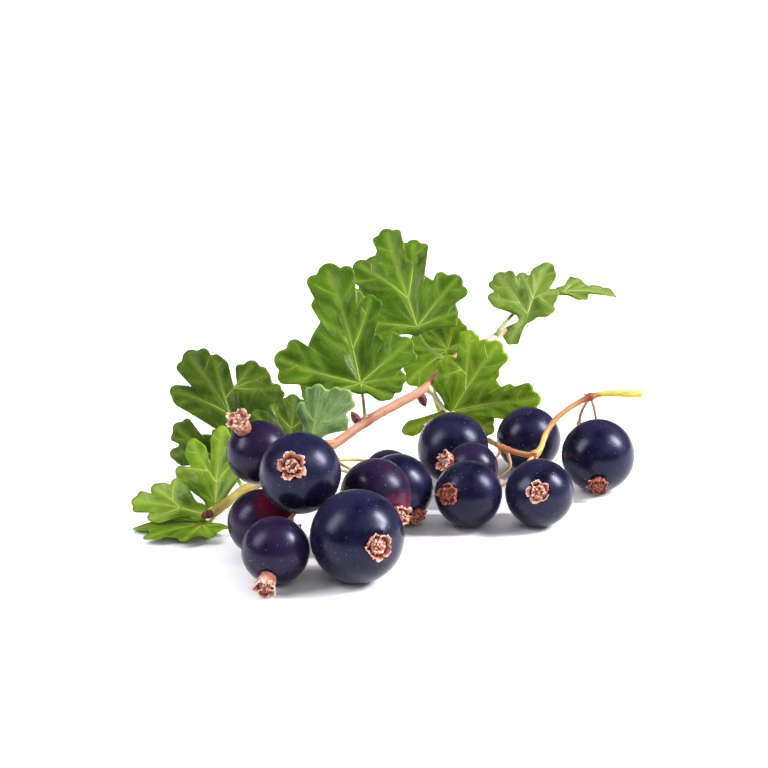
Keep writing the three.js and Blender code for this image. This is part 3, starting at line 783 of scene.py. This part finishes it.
def makeLeaf(number, leaf, materials):
    # the blade: columns of equal width round the rim, rings at equal shares of the reach, the upper
    # side from its middle to the rim and the underside back to its middle
    look = leafLook
    rng = np.random.default_rng(100 + number)
    fine = np.linspace(0, 2 * np.pi, 1081)
    fineReach = bladeReach(leaf, fine[:-1])
    fineReach = np.append(fineReach, fineReach[0])
    outline = np.stack([fineReach * np.sin(fine), fineReach * np.cos(fine)], 1)
    run = runOf(outline)
    size = run[-1]
    columns = int(np.clip(size * 2.6, 120, look["columns"]))
    rings = int(np.clip(size / 3, 16, look["rings"]))
    turns = np.interp(np.linspace(0, size, columns, endpoint=False), run, fine)
    reachAt = lambda angle: np.interp(np.mod(angle, 2 * np.pi), fine, fineReach)
    main, side = veinsOf(leaf, reachAt, rng)
    share = np.linspace(0, 1, rings + 1)[1:] ** 0.9
    share = np.concatenate([share, share[-2::-1]])[:, None]
    top = (np.arange(2 * rings - 1) < rings)[:, None]
    x, y = (share * reachAt(turns) * wave(turns) for wave in (np.sin, np.cos))
    flat = np.stack([x, y], -1)
    upper = flat[:rings].reshape(-1, 2)
    apart, ridge = (nearest(upper, paths).reshape(rings, columns) for paths in (main + side, main))
    apart, ridge = (np.vstack([away, away[-2::-1]]) for away in (apart, ridge))
    swell = 1 - bell(apart, look["puckerWidth"])
    high, wide = look["lumps"]
    lumps = high * ripple(flat, wide, number) * share * swell
    swell = look["pucker"] * swell * (1 - share**6) + lumps
    half = look["thickness"] / 2 * (1 - share**8) * np.where(top, 1, -1)
    height = bladeRise(leaf, x, y) + swell + half
    far = np.hypot(x, y)
    values = {
        "flat": np.stack([x, y, 40.0 * number + 0 * x], -1) * mm,
        "rays": np.stack([8 * x / far, 8 * y / far, 0.12 * far + 40.0 * number], -1) * mm,
        "vein": np.maximum(0.45 * bell(apart, look["halo"]), bell(ridge, look["halo"])),
        "margin": step(share, 0.95, 1.0) * 0.5,
    }
    bands = np.where(np.arange(2 * rings - 2) < rings - 1, 0, 1)
    skins = [{"points": placeOn(leaf, x, y, height), "material": bands, "values": values}]
    for paths, radii, soft in ((main, look["primary"], 0), (side, look["secondary"], 1)):
        for path in paths:
            t = np.linspace(0, 1, len(path))
            radius = radii[0] + (radii[1] - radii[0]) * t
            line = placeOn(leaf, *path.T, bladeRise(leaf, *path.T))
            points, _ = tube(line, radius, 7)
            soften = np.maximum(0.4 * soft, 0.8 * step(t, 0.35, 1))[:, None]
            skins.append({"points": points, "material": 2, "values": {"soft": soften}})
    skins.append(petioleOf(leaf))
    makePiece(f"leaf_{number}_blade", f"leaf_{number}", materials, skins)


berryLook = {
    "rows": 60,
    "columns": 84,
    "uneven": 0.012,  # share of the radius
    "collar": 0.018,  # the skin rises round the flower
    "collarAt": 0.3,  # radians from the flower's middle
    "collarWidth": 0.1,
    "flowerDimple": 0.05,
    "flowerDimpleWidth": 0.16,
    "stalkDimple": 0.035,
    "stalkDimpleWidth": 0.17,
}
plums = {  # how plum-coloured the less ripe ones are, 0 to 1
    "left_berry_1": 0.3, "left_berry_3": 0.5, "left_berry_4": 0.4, "left_berry_6": 0.4,
    "left_berry_8": 0.25, "right_berry_2": 0.25, "right_berry_5": 0.15,
}
otherPlum = 0.1
# two berries keep some red: which way it lies from the middle of the berry
blushes = {"left_berry_3": [0.62, -0.35, 0.7], "left_berry_6": [0.62, -0.6, -0.5]}


def berryFacts(node):
    # a berry's middle, its radius and the way its flower points
    low, high = (np.array(corner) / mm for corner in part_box(node))
    middle = (low + high) / 2 + origin
    way = middleOf(node.replace("berry", "flower")) + origin - middle
    return middle, (high[2] - low[2]) / 2, unit(way)


def makeBerry(node, seed, material):
    # a globe by latitude from the flower and turn round it: radius x (1 - a little unevenness - a
    # dimple at each end + a collar round the flower)
    look = berryLook
    middle, radius, way = berryFacts(node)
    lat, local = globe(look["rows"], look["columns"], 0.03)
    out = local @ frameOf(way)
    size = (
        1
        - look["uneven"] * (0.5 + 0.5 * ripple(out, 1.7, seed)).clip(0, 1)
        - look["flowerDimple"] * bell(lat, look["flowerDimpleWidth"])
        + look["collar"] * bell(lat - look["collarAt"], look["collarWidth"])
        - look["stalkDimple"] * bell(np.pi - lat, look["stalkDimpleWidth"])
    )
    blush = np.zeros(size.shape)
    if node in blushes:
        toNeighbour = out @ unit(np.array(blushes[node])) + 0.1 * ripple(out, 0.8, seed + 1)
        blush = 0.75 * step(toNeighbour, 0.5, 1.05)
    plum = plums.get(node, otherPlum) * (1 + 0.7 * ripple(out, 1.8, seed + 2))
    wax = step(out[..., 2] + 0.25 * ripple(out, 1.2, seed + 4), -0.75, 0.55)
    values = {"blush": blush, "plum": plum.clip(0, 1), "wax": wax}
    points = middle + radius * size[..., None] * out
    skins = [{"points": points, "values": values}]
    makePiece(node + "_skin", node, [material], skins)


# How each dried flower has withered: radius of its foot, length of its tube and of its lobes, how
# far the lobes lean out.
flowerShapes = {
    "left_flower_1": [1.15, 2.3, 1.15, 0.5],
    "left_flower_2": [1.25, 0.8, 1.35, 1.15],
    "left_flower_4": [1.15, 2.3, 0.7, 0.25],
    "left_flower_5": [1.45, 0.8, 1.05, 0.75],
    "left_flower_7": [1, 0.7, 0.75, 0.4],
    "right_flower_3": [1.2, 0.7, 0.9, 0.7],
    "right_flower_6": [1.1, 0.8, 1, 0.5],
    "right_flower_4": [1.25, 0.7, 0.9, 0.8],
}
otherFlower = [1.15, 0.9, 1.2, 0.7]
rustyFlowers = ["left_flower_3", "left_flower_7", "right_flower_3", "right_flower_6"]
flowerLook = {
    "lobes": 5,
    "paper": 0.1,  # thickness, mm
    "crumple": 0.2,  # mm
    "petals": 0.8,  # their foot, as a share of the sepals'
    "petalTurn": 0.63,  # how far they are turned past the sepals, radians
    "heartWidth": 0.88,  # of the flower's foot
    "heartUneven": 0.2,
    "threads": 7,
    "threadRadius": [0.08, 0.19],  # of a thread and its swollen end, mm
    "threadBend": 0.5,
    "columns": 120,
    "rows": 17,
}


def whorl(shape, turnBy, seed):
    # a ring of withered lobes: for each turn round the axis a strip leaves the foot and leans out
    # more and more, so that out and up are the running sums of the lean's sine and cosine; it is
    # crumpled by ripples at right angles to itself
    foot, tubeLength, lobeLength, spread = shape
    look = flowerLook
    rng = np.random.default_rng(seed)
    turn = turnsOf(look["columns"])
    t = np.linspace(0, 1, look["rows"])[:, None]
    lobes = look["lobes"]
    lobe = np.abs(np.cos(lobes / 2 * (turn + turnBy))) ** 0.25
    which = np.round((turn + turnBy) * (lobes / 2) / np.pi).astype(int) % lobes
    circle = foot * np.stack([np.cos(turn), np.sin(turn)], -1)
    ragged = rng.uniform(0.7, 1.1, lobes)[which] * (1 + 0.2 * ripple(circle, 0.4, seed + 3))
    length = tubeLength + lobeLength * lobe * ragged
    s = t * length
    bend = spread * rng.uniform(0.65, 1.35, lobes)[which] * np.sqrt(lobe)
    lean = 0.1 + bend * step(s, 0.5 * tubeLength, tubeLength + lobeLength)
    stretch = length / (look["rows"] - 1)
    out = foot + np.cumsum(np.sin(lean) * stretch, axis=0)
    up = np.cumsum(np.cos(lean) * stretch, axis=0) - stretch
    place = np.concatenate([np.broadcast_to(1.4 * circle, (*s.shape, 2)), s[..., None]], -1)
    crease = 0.8 * ripple(place, 1.0, seed) + 0.9 * ripple(place, 0.5, seed + 1)
    fold = look["crumple"] * (0.35 + 0.65 * t) * crease
    fold = fold + 0.13 * t * np.cos(lobes * (turn + turnBy))
    sway = 0.13 * t * ripple(place, 0.7, seed + 2)

    def sheet(offset):
        r = out + (fold + offset) * np.cos(lean)
        h = up - (fold + offset) * np.sin(lean)
        return polar(r, turn + sway, h)

    paper = look["paper"] / 2
    # painted light and shade: lighter out along each lobe and on crumple ridges, and the inner
    # sheet darker than the outer, a painted shade inside the cup
    light = np.clip(s / (tubeLength + lobeLength) + 0.16 * crease, 0, 1)
    return {
        "points": np.vstack([sheet(-paper), sheet(paper)[::-1]]),
        "values": {"out": np.vstack([light, (0.4 + 0.6 * light)[::-1]])},
    }


def witheredHeart(foot, height, seed):
    # the withered middle: a globe drawn out along the flower and puckered all over
    _, out = globe(30, 52, 0.05)
    pucker = ripple(out * foot, 0.8, seed) + 0.7 * ripple(out * foot, 0.4, seed + 1)
    size = (1 + flowerLook["heartUneven"] * pucker)[..., None]
    wide = flowerLook["heartWidth"]
    points = (out * size * [wide, wide, 0.5] + [0, 0, 0.5]) * [foot, foot, height]
    # painted light and shade: raised puckers lighter, the dips between them darker
    return {"points": points, "values": {"out": np.clip(0.3 + 0.35 * pucker, 0, 0.85)}}


def threadOf(seed, foot, reach):
    # a withered stamen or style: a thin bent thread with a swollen end
    rng = np.random.default_rng(seed)
    t = np.linspace(0, 1, 12)[:, None]
    sway = flowerLook["threadBend"]
    path = np.hstack([t * rng.normal(size=2) * sway + t**2 * rng.normal(size=2) * sway, reach * t])
    path = path + [*(rng.uniform(-0.5, 0.5, 2) * foot), 0.1]
    thin, swollen = flowerLook["threadRadius"]
    radius = thin + (swollen - thin) * bell(t[:, 0] - 0.93, 0.09)
    points, _ = tube(path, radius, 6)
    # painted shade: darker at the foot, deep in the flower, lighter towards the swollen end
    return {"points": points, "values": {"out": 0.35 + 0.6 * t}}


def makeFlower(node, seed, material):
    # sepals outside, smaller petals inside and a crumpled heart with a few threads, all standing on
    # the end of the berry; what would touch the ground bends away from it
    middle, radius, way = berryFacts(node.replace("flower", "berry"))
    shape = flowerShapes.get(node, otherFlower)
    foot, tubeLength, lobeLength, _ = shape
    look = flowerLook
    petals = [look["petals"] * foot, tubeLength, lobeLength, -1.0]
    skins = [whorl(shape, 0, seed), whorl(petals, look["petalTurn"], seed + 10)]
    skins.append(witheredHeart(foot, tubeLength + 0.7, seed + 15))
    reach = tubeLength + 0.5 * lobeLength + 0.2
    skins += [threadOf(seed + 20 + k, foot, reach) for k in range(look["threads"])]
    base = middle + way * (radius * (1 - berryLook["flowerDimple"]) - 0.1)
    for skin in skins:
        skin["points"] = base + skin["points"] @ frameOf(way)
        low = skin["points"][..., 2]
        skin["points"][..., 2] = np.where(low < 0.3, 0.04 + 0.26 * np.exp((low - 0.3) / 0.26), low)
    makePiece(node + "_sepals", node, [material], skins)


trussLook = {
    "rachis": 0.5,  # radius, mm
    "pedicel": 0.29,
    "knot": 0.28,  # how much thicker the rachis is where a pedicel grows
    "uneven": 0.09,
    "sides": 16,
    "intoBerry": 0.93,  # radii from the berry's middle at which its pedicel ends
    "bract": {"length": 0.9, "width": 0.46, "thickness": 0.1, "curl": 0.2},
}
trusses = {
    "left": {
        "rachis": [[-10.4, 38.2, 10.5], [-8.3, 31, 10], [-9, 24.5, 10.5], [-12, 17, 9]],
        "pedicels": [
            [[-9, 24.5, 10.5], [-13.5, 23, 9.6]], [[-9.6, 22.5, 10.2], [-11, 19, 11]],
            [[-11.4, 18.6, 9.3], [-17, 21.7, 8], [-22.6, 21.4, 6.2]],
            [[-12, 17, 9], [-14.5, 10.5, 7.8]], [[-12, 17, 9], [-9.2, 13, 7.2]],
            [[-9, 24.5, 10.5], [-8, 24, 11]], [[-8.3, 31, 10], [-4.2, 33, 9.4]],
            [[-8.3, 31, 10], [-5, 35, 6.8]],
        ],
        "bare": [],
        "stub": 0,
        "pale": 0.1,  # how bleached its pedicels are
        "root": 5,  # where it leaves the twig, counted along twigPath
        "fresh": [[0, 0.2], [0.6, 0.6], [3, 0.9]],  # how green it is, by point of the rachis
        "rust": [[0, 0.1], [3, 0.0]],
    },
    "right": {
        "rachis": [
            [8.8, 63, 10.6], [10, 63, 7.2], [12.6, 60, 4.6], [17, 55, 5.4], [19, 49.5, 6.3],
            [19.8, 43, 7.8], [20.6, 39, 8.9], [25, 37, 8.9], [27.3, 41, 11.8], [29.4, 43, 13.7],
            [34.6, 46, 15.9], [38.6, 46, 16.6], [42.9, 46, 16.4],
        ],
        "pedicels": [
            [[19.8, 43, 7.8], [17.4, 41.9, 4.8]], [[20.4, 39.8, 8.6], [21, 39.2, 6]],
            [[25, 37, 8.9], [21, 33.5, 6]], [[25, 37, 8.9], [25.7, 35.2, 6]],
            [[25, 37, 8.9], [25.6, 43, 6.4]], [[34.6, 46, 15.9], [35.5, 48.8, 13.2]],
        ],
        "bare": [[[34.6, 46, 15.9], [33.4, 48.2, 12.6], [33.1, 49.8, 9.8]]],
        "stub": 0.5,  # how much thicker its cut end is
        "pale": 0.5,
        "root": 8,
        "fresh": [
            [0, 1], [3, 0.6], [5.5, 0.1], [6.8, 0.15], [7.3, 0.8], [8.2, 0.3], [10, 0.25],
            [10.5, 1], [12, 1],
        ],
        "rust": [
            [0, 0], [5, 0.3], [6.2, 0.6], [7.2, 0.1], [8, 0.25], [9.5, 0.5], [10, 1],
            [10.5, 0.2], [12, 0],
        ],
    },
}


def stemSkin(path, radius, fresh, rust, pale, seed):
    # a stem of that radius for each ring, with a little unevenness along its grain
    path, longer = roundEnds(path, radius)
    _, grain = tube(path, longer, trussLook["sides"])
    uneven = 1 + trussLook["uneven"] * ripple(grain / mm * [1, 1, 0.3], 0.6, seed)
    points, grain = tube(path, longer[:, None] * uneven, trussLook["sides"])
    values = {"grain": grain, "pale": pale}
    for key, value in (("fresh", fresh), ("rust", rust)):
        values[key] = np.pad(value, len(endShares), mode="edge")[:, None]
    return {"points": points, "values": values}


def knotScale(place, way, seed):
    # a small withered bract: a pointed flat scale that stands off the knot
    rng = np.random.default_rng(seed)
    t = np.linspace(0, 1, 10)[:, None]
    turn = turnsOf(12)
    look = trussLook["bract"]
    wide, thick = look["width"] * np.sin(np.pi * t**0.7) + 0.02, look["thickness"] * (1 - 0.6 * t)
    off = thick * np.sin(turn) + look["curl"] * t**2
    local = np.stack(np.broadcast_arrays(wide * np.cos(turn), off, look["length"] * t), -1)
    points = place + local @ frameOf(way + rng.normal(size=3) * 0.25)
    return {"points": points, "values": {"rust": 0.75, "fresh": 0.2}}


def makeTruss(side, stalk):
    # the rachis, a pedicel to the dimple of each berry, bare stalks, and a bract at each knot
    look, truss = trussLook, trusses[side]
    count = 24 * (len(truss["rachis"]) - 1) + 1
    path = smoothPath(truss["rachis"], count)
    place = np.linspace(0, len(truss["rachis"]) - 1, count)
    fresh, rust = (np.interp(place, *np.array(truss[key]).T) for key in ("fresh", "rust"))
    knots = np.unique([stalkPath[0] for stalkPath in truss["pedicels"]], axis=0)
    close = bell(np.linalg.norm(path[:, None] - knots, axis=2), 0.7).max(1)
    radius = look["rachis"] * (0.92 + look["knot"] / look["rachis"] * close)
    radius = radius * (1 + truss["stub"] * step(place, place[-1] - 1.8, place[-1] - 0.5))
    foot, _ = twigPlace(truss["root"])
    toTwig = path[0] + (foot - path[0]) * np.linspace(0.75, 0, 9)[:-1, None]
    path = np.vstack([toTwig, path])
    radius, fresh, rust = (np.pad(value, (8, 0), mode="edge") for value in (radius, fresh, rust))
    radius = radius + 0.12 * bell(runOf(path), 1.6)
    skins = [stemSkin(path, radius, fresh, rust, 0, 40)]
    for i, via in enumerate(truss["pedicels"]):
        middle, size, way = berryFacts(f"{side}_berry_{i + 1}")
        near, inside = middle - way * (size + 0.45), middle - way * size * look["intoBerry"]
        line = smoothPath([*via, near, inside], 44)
        t = sharesOf(line)
        thick = look["pedicel"] * (0.9 + 0.5 * bell(t, 0.1) + 0.6 * bell(1 - t, 0.1))
        at = np.argmin(np.linalg.norm(path - via[0], axis=1))
        green = 0.3 + 0.7 * fresh[at] + 0 * t
        skins.append(stemSkin(line, thick, green, 0 * t, truss["pale"], 50 + i))
    for i, via in enumerate(truss["bare"]):
        line = smoothPath(via, 36)
        t = sharesOf(line)
        thick = look["pedicel"] * (0.95 + 0.4 * bell(t, 0.1) + 0.6 * step(t, 0.85, 1))
        green = 0.2 + 0.5 * step(t, 0.8, 1)
        skins.append(stemSkin(line, thick, green, 0 * t, truss["pale"], 70 + i))
    for i, knot in enumerate(np.repeat(knots, 3, axis=0)):
        way = np.array([np.cos(2.4 * i), np.sin(2.4 * i), 0.3 + 0.25 * (i % 3)])
        skins.append(knotScale(knot + 0.42 * unit(way), way, 80 + i))
    makePiece(f"{side}_truss_stalk", f"{side}_truss_stem", [stalk], skins)


buds = {
    "node_bud_1": {"foot": 5.8, "way": [-0.7, 0, 0.7], "radius": 0.72},
    "node_bud_2": {"foot": 7.7, "way": [-0.25, -0.8, -0.5], "radius": 0.8},
    "tip_bud": {"foot": 0, "way": [-0.75, -0.6, 0], "radius": 0.66},
}
budLook = {"length": 2.0, "scales": 3.2, "lip": 0.13}


def makeBud(node, bud, material):
    # a pointed egg whose scales wind up it: the radius grows along each turn of a spiral and steps
    # back where the next scale starts
    look = budLook
    foot, along = twigPlace(bud["foot"])
    out = unit(np.array(bud["way"], float))
    if bud["foot"]:
        out = unit(out - along * (out @ along))
        foot = foot + out * 0.3
    t = np.linspace(0, 1, 60)[:, None]
    turn = turnsOf(36)
    start = np.round(turn / (2 * np.pi) * 3 + 0.5 * np.sin(3 * turn)) / 3
    spiral = np.mod(look["scales"] * t + start, 1)
    shape = np.sin(np.pi * np.clip(0.25 + 0.75 * t, 0, 1) ** 1.1) ** 0.8
    radius = bud["radius"] * (shape * (1 + look["lip"] * (spiral - 0.5)) + 0.02)
    points = foot + polar(radius, turn, (look["length"] + 0.5) * t) @ frameOf(out)
    skins = [{"points": points, "values": {"edge": step(spiral, 0.8, 1) * 0.6}}]
    makePiece(node + "_scales", node, [material], skins)


bark, stalk = (stemBark(name, *tones) for name, tones in barkTones.items())
makeTwig(bark)
for side in trusses:
    makeTruss(side, stalk)
print("twig and stalks made")

under = leafBlade("leafUnderside", leafTones["under"], *leafSides["under"])
veins, blades = {}, {}
for tone in ("deep", "mid", "bright", "olive"):
    veins[tone] = leafVein(f"leafVein.{tone}", leafTones[tone][2], leafTones[tone][1])
    blades[tone] = leafBlade(f"leafUpper.{tone}", leafTones[tone], *leafSides["upper"])
for number, leaf in enumerate(leaves, 1):
    makeLeaf(number, leaf, [blades[leaf["tone"]], under, veins[leaf["tone"]]])
print("leaves made")

skin = ripeBerrySkin()
pinkish = witheredFlower("witheredFlower", *driedFlowerLook["pinkish"])
reddish = witheredFlower("witheredFlowerRusty", *driedFlowerLook["reddish"])
seed = 0
for side, berries in (("left", 8), ("right", 6)):
    for i in range(1, berries + 1):
        seed += 31
        makeBerry(f"{side}_berry_{i}", seed, skin)
        flower = f"{side}_flower_{i}"
        makeFlower(flower, seed, reddish if flower in rustyFlowers else pinkish)
print("berries and flowers made")

scales = budScale()
for node, bud in buds.items():
    makeBud(node, bud, scales)
print("buds made")


cameraLook = {"distance": 400, "down": 18, "aim": [0, 25, 25], "lens": 118.1}  # mm and degrees
lamps = {
    # way from the sprig, distance and size in mm, power in watts, whether shiny things reflect it
    "keySoftbox": [[0.77, -0.06, 0.63], 520, [125, 235], 6.1, True],
    "fillSoftbox": [[-0.76, -0.23, 0.61], 560, [200, 380], 2.7, True],
    "backSoftbox": [[0, 0.55, 0.83], 800, [1200, 800], 5.5, False],
    "frontSoftbox": [[0.15, -0.8, 0.58], 700, [600, 400], 1.0, False],
}
stageLook = {"floor": "#f6f6f8", "world": "#e9e5ff", "worldStrength": 0.3}


def makeStage():
    # a matt pale floor under the sprig and an even, faintly violet light from all round
    floorMesh = bpy.data.meshes.new("floor")
    corners = [(-3, -3, 0), (3, -3, 0), (3, 3, 0), (-3, 3, 0)]
    floorMesh.from_pydata(corners, [], [(0, 1, 2, 3)])
    board, _ = startMaterial("matteWhiteBoard")
    floorMesh.materials.append(finishMaterial(board, {"Roughness": 0.8}, stageLook["floor"]))
    floor = newObject("floor", floorMesh)
    world = bpy.data.worlds.new("studio")
    world.use_nodes = True
    shade = world.node_tree.nodes["Background"]
    shade.inputs["Color"].default_value = linear(stageLook["world"])
    shade.inputs["Strength"].default_value = stageLook["worldStrength"]
    world.cycles_visibility.glossy = False
    bpy.context.scene.world = world


def pointed(data, place, target):
    # an object at place that looks at target, both in the sprig's millimetres
    thing = newObject(data.name, data)
    thing.location = (place - origin) * mm
    back = unit(place - target)
    across = unit(np.cross([0, 0, 1], back))
    turned = Matrix(np.stack([across, np.cross(back, across), back], 1).tolist())
    thing.rotation_euler = turned.to_euler()
    return thing


makeStage()
heart = np.array([6, 40, 10.0])  # what the lamps are turned to
for name, (way, distance, size, power, shiny) in lamps.items():
    light = bpy.data.lights.new(name, "AREA")
    light.shape = "RECTANGLE"
    light.size, light.size_y = (side * mm for side in size)
    light.energy = power
    holder = pointed(light, heart + unit(np.array(way)) * distance, heart)
    holder.visible_glossy = shiny
aim = np.array(cameraLook["aim"], float)
down = np.radians(cameraLook["down"])
lens = bpy.data.cameras.new("camera")
lens.lens = cameraLook["lens"]
lens.clip_start = 0.01
lens.clip_end = 20
away = cameraLook["distance"] * np.array([0, -np.cos(down), np.sin(down)])
camera = pointed(lens, aim + away, aim)
bpy.context.scene.camera = camera
bpy.context.scene.view_settings.view_transform = "Standard"
print("stage made")
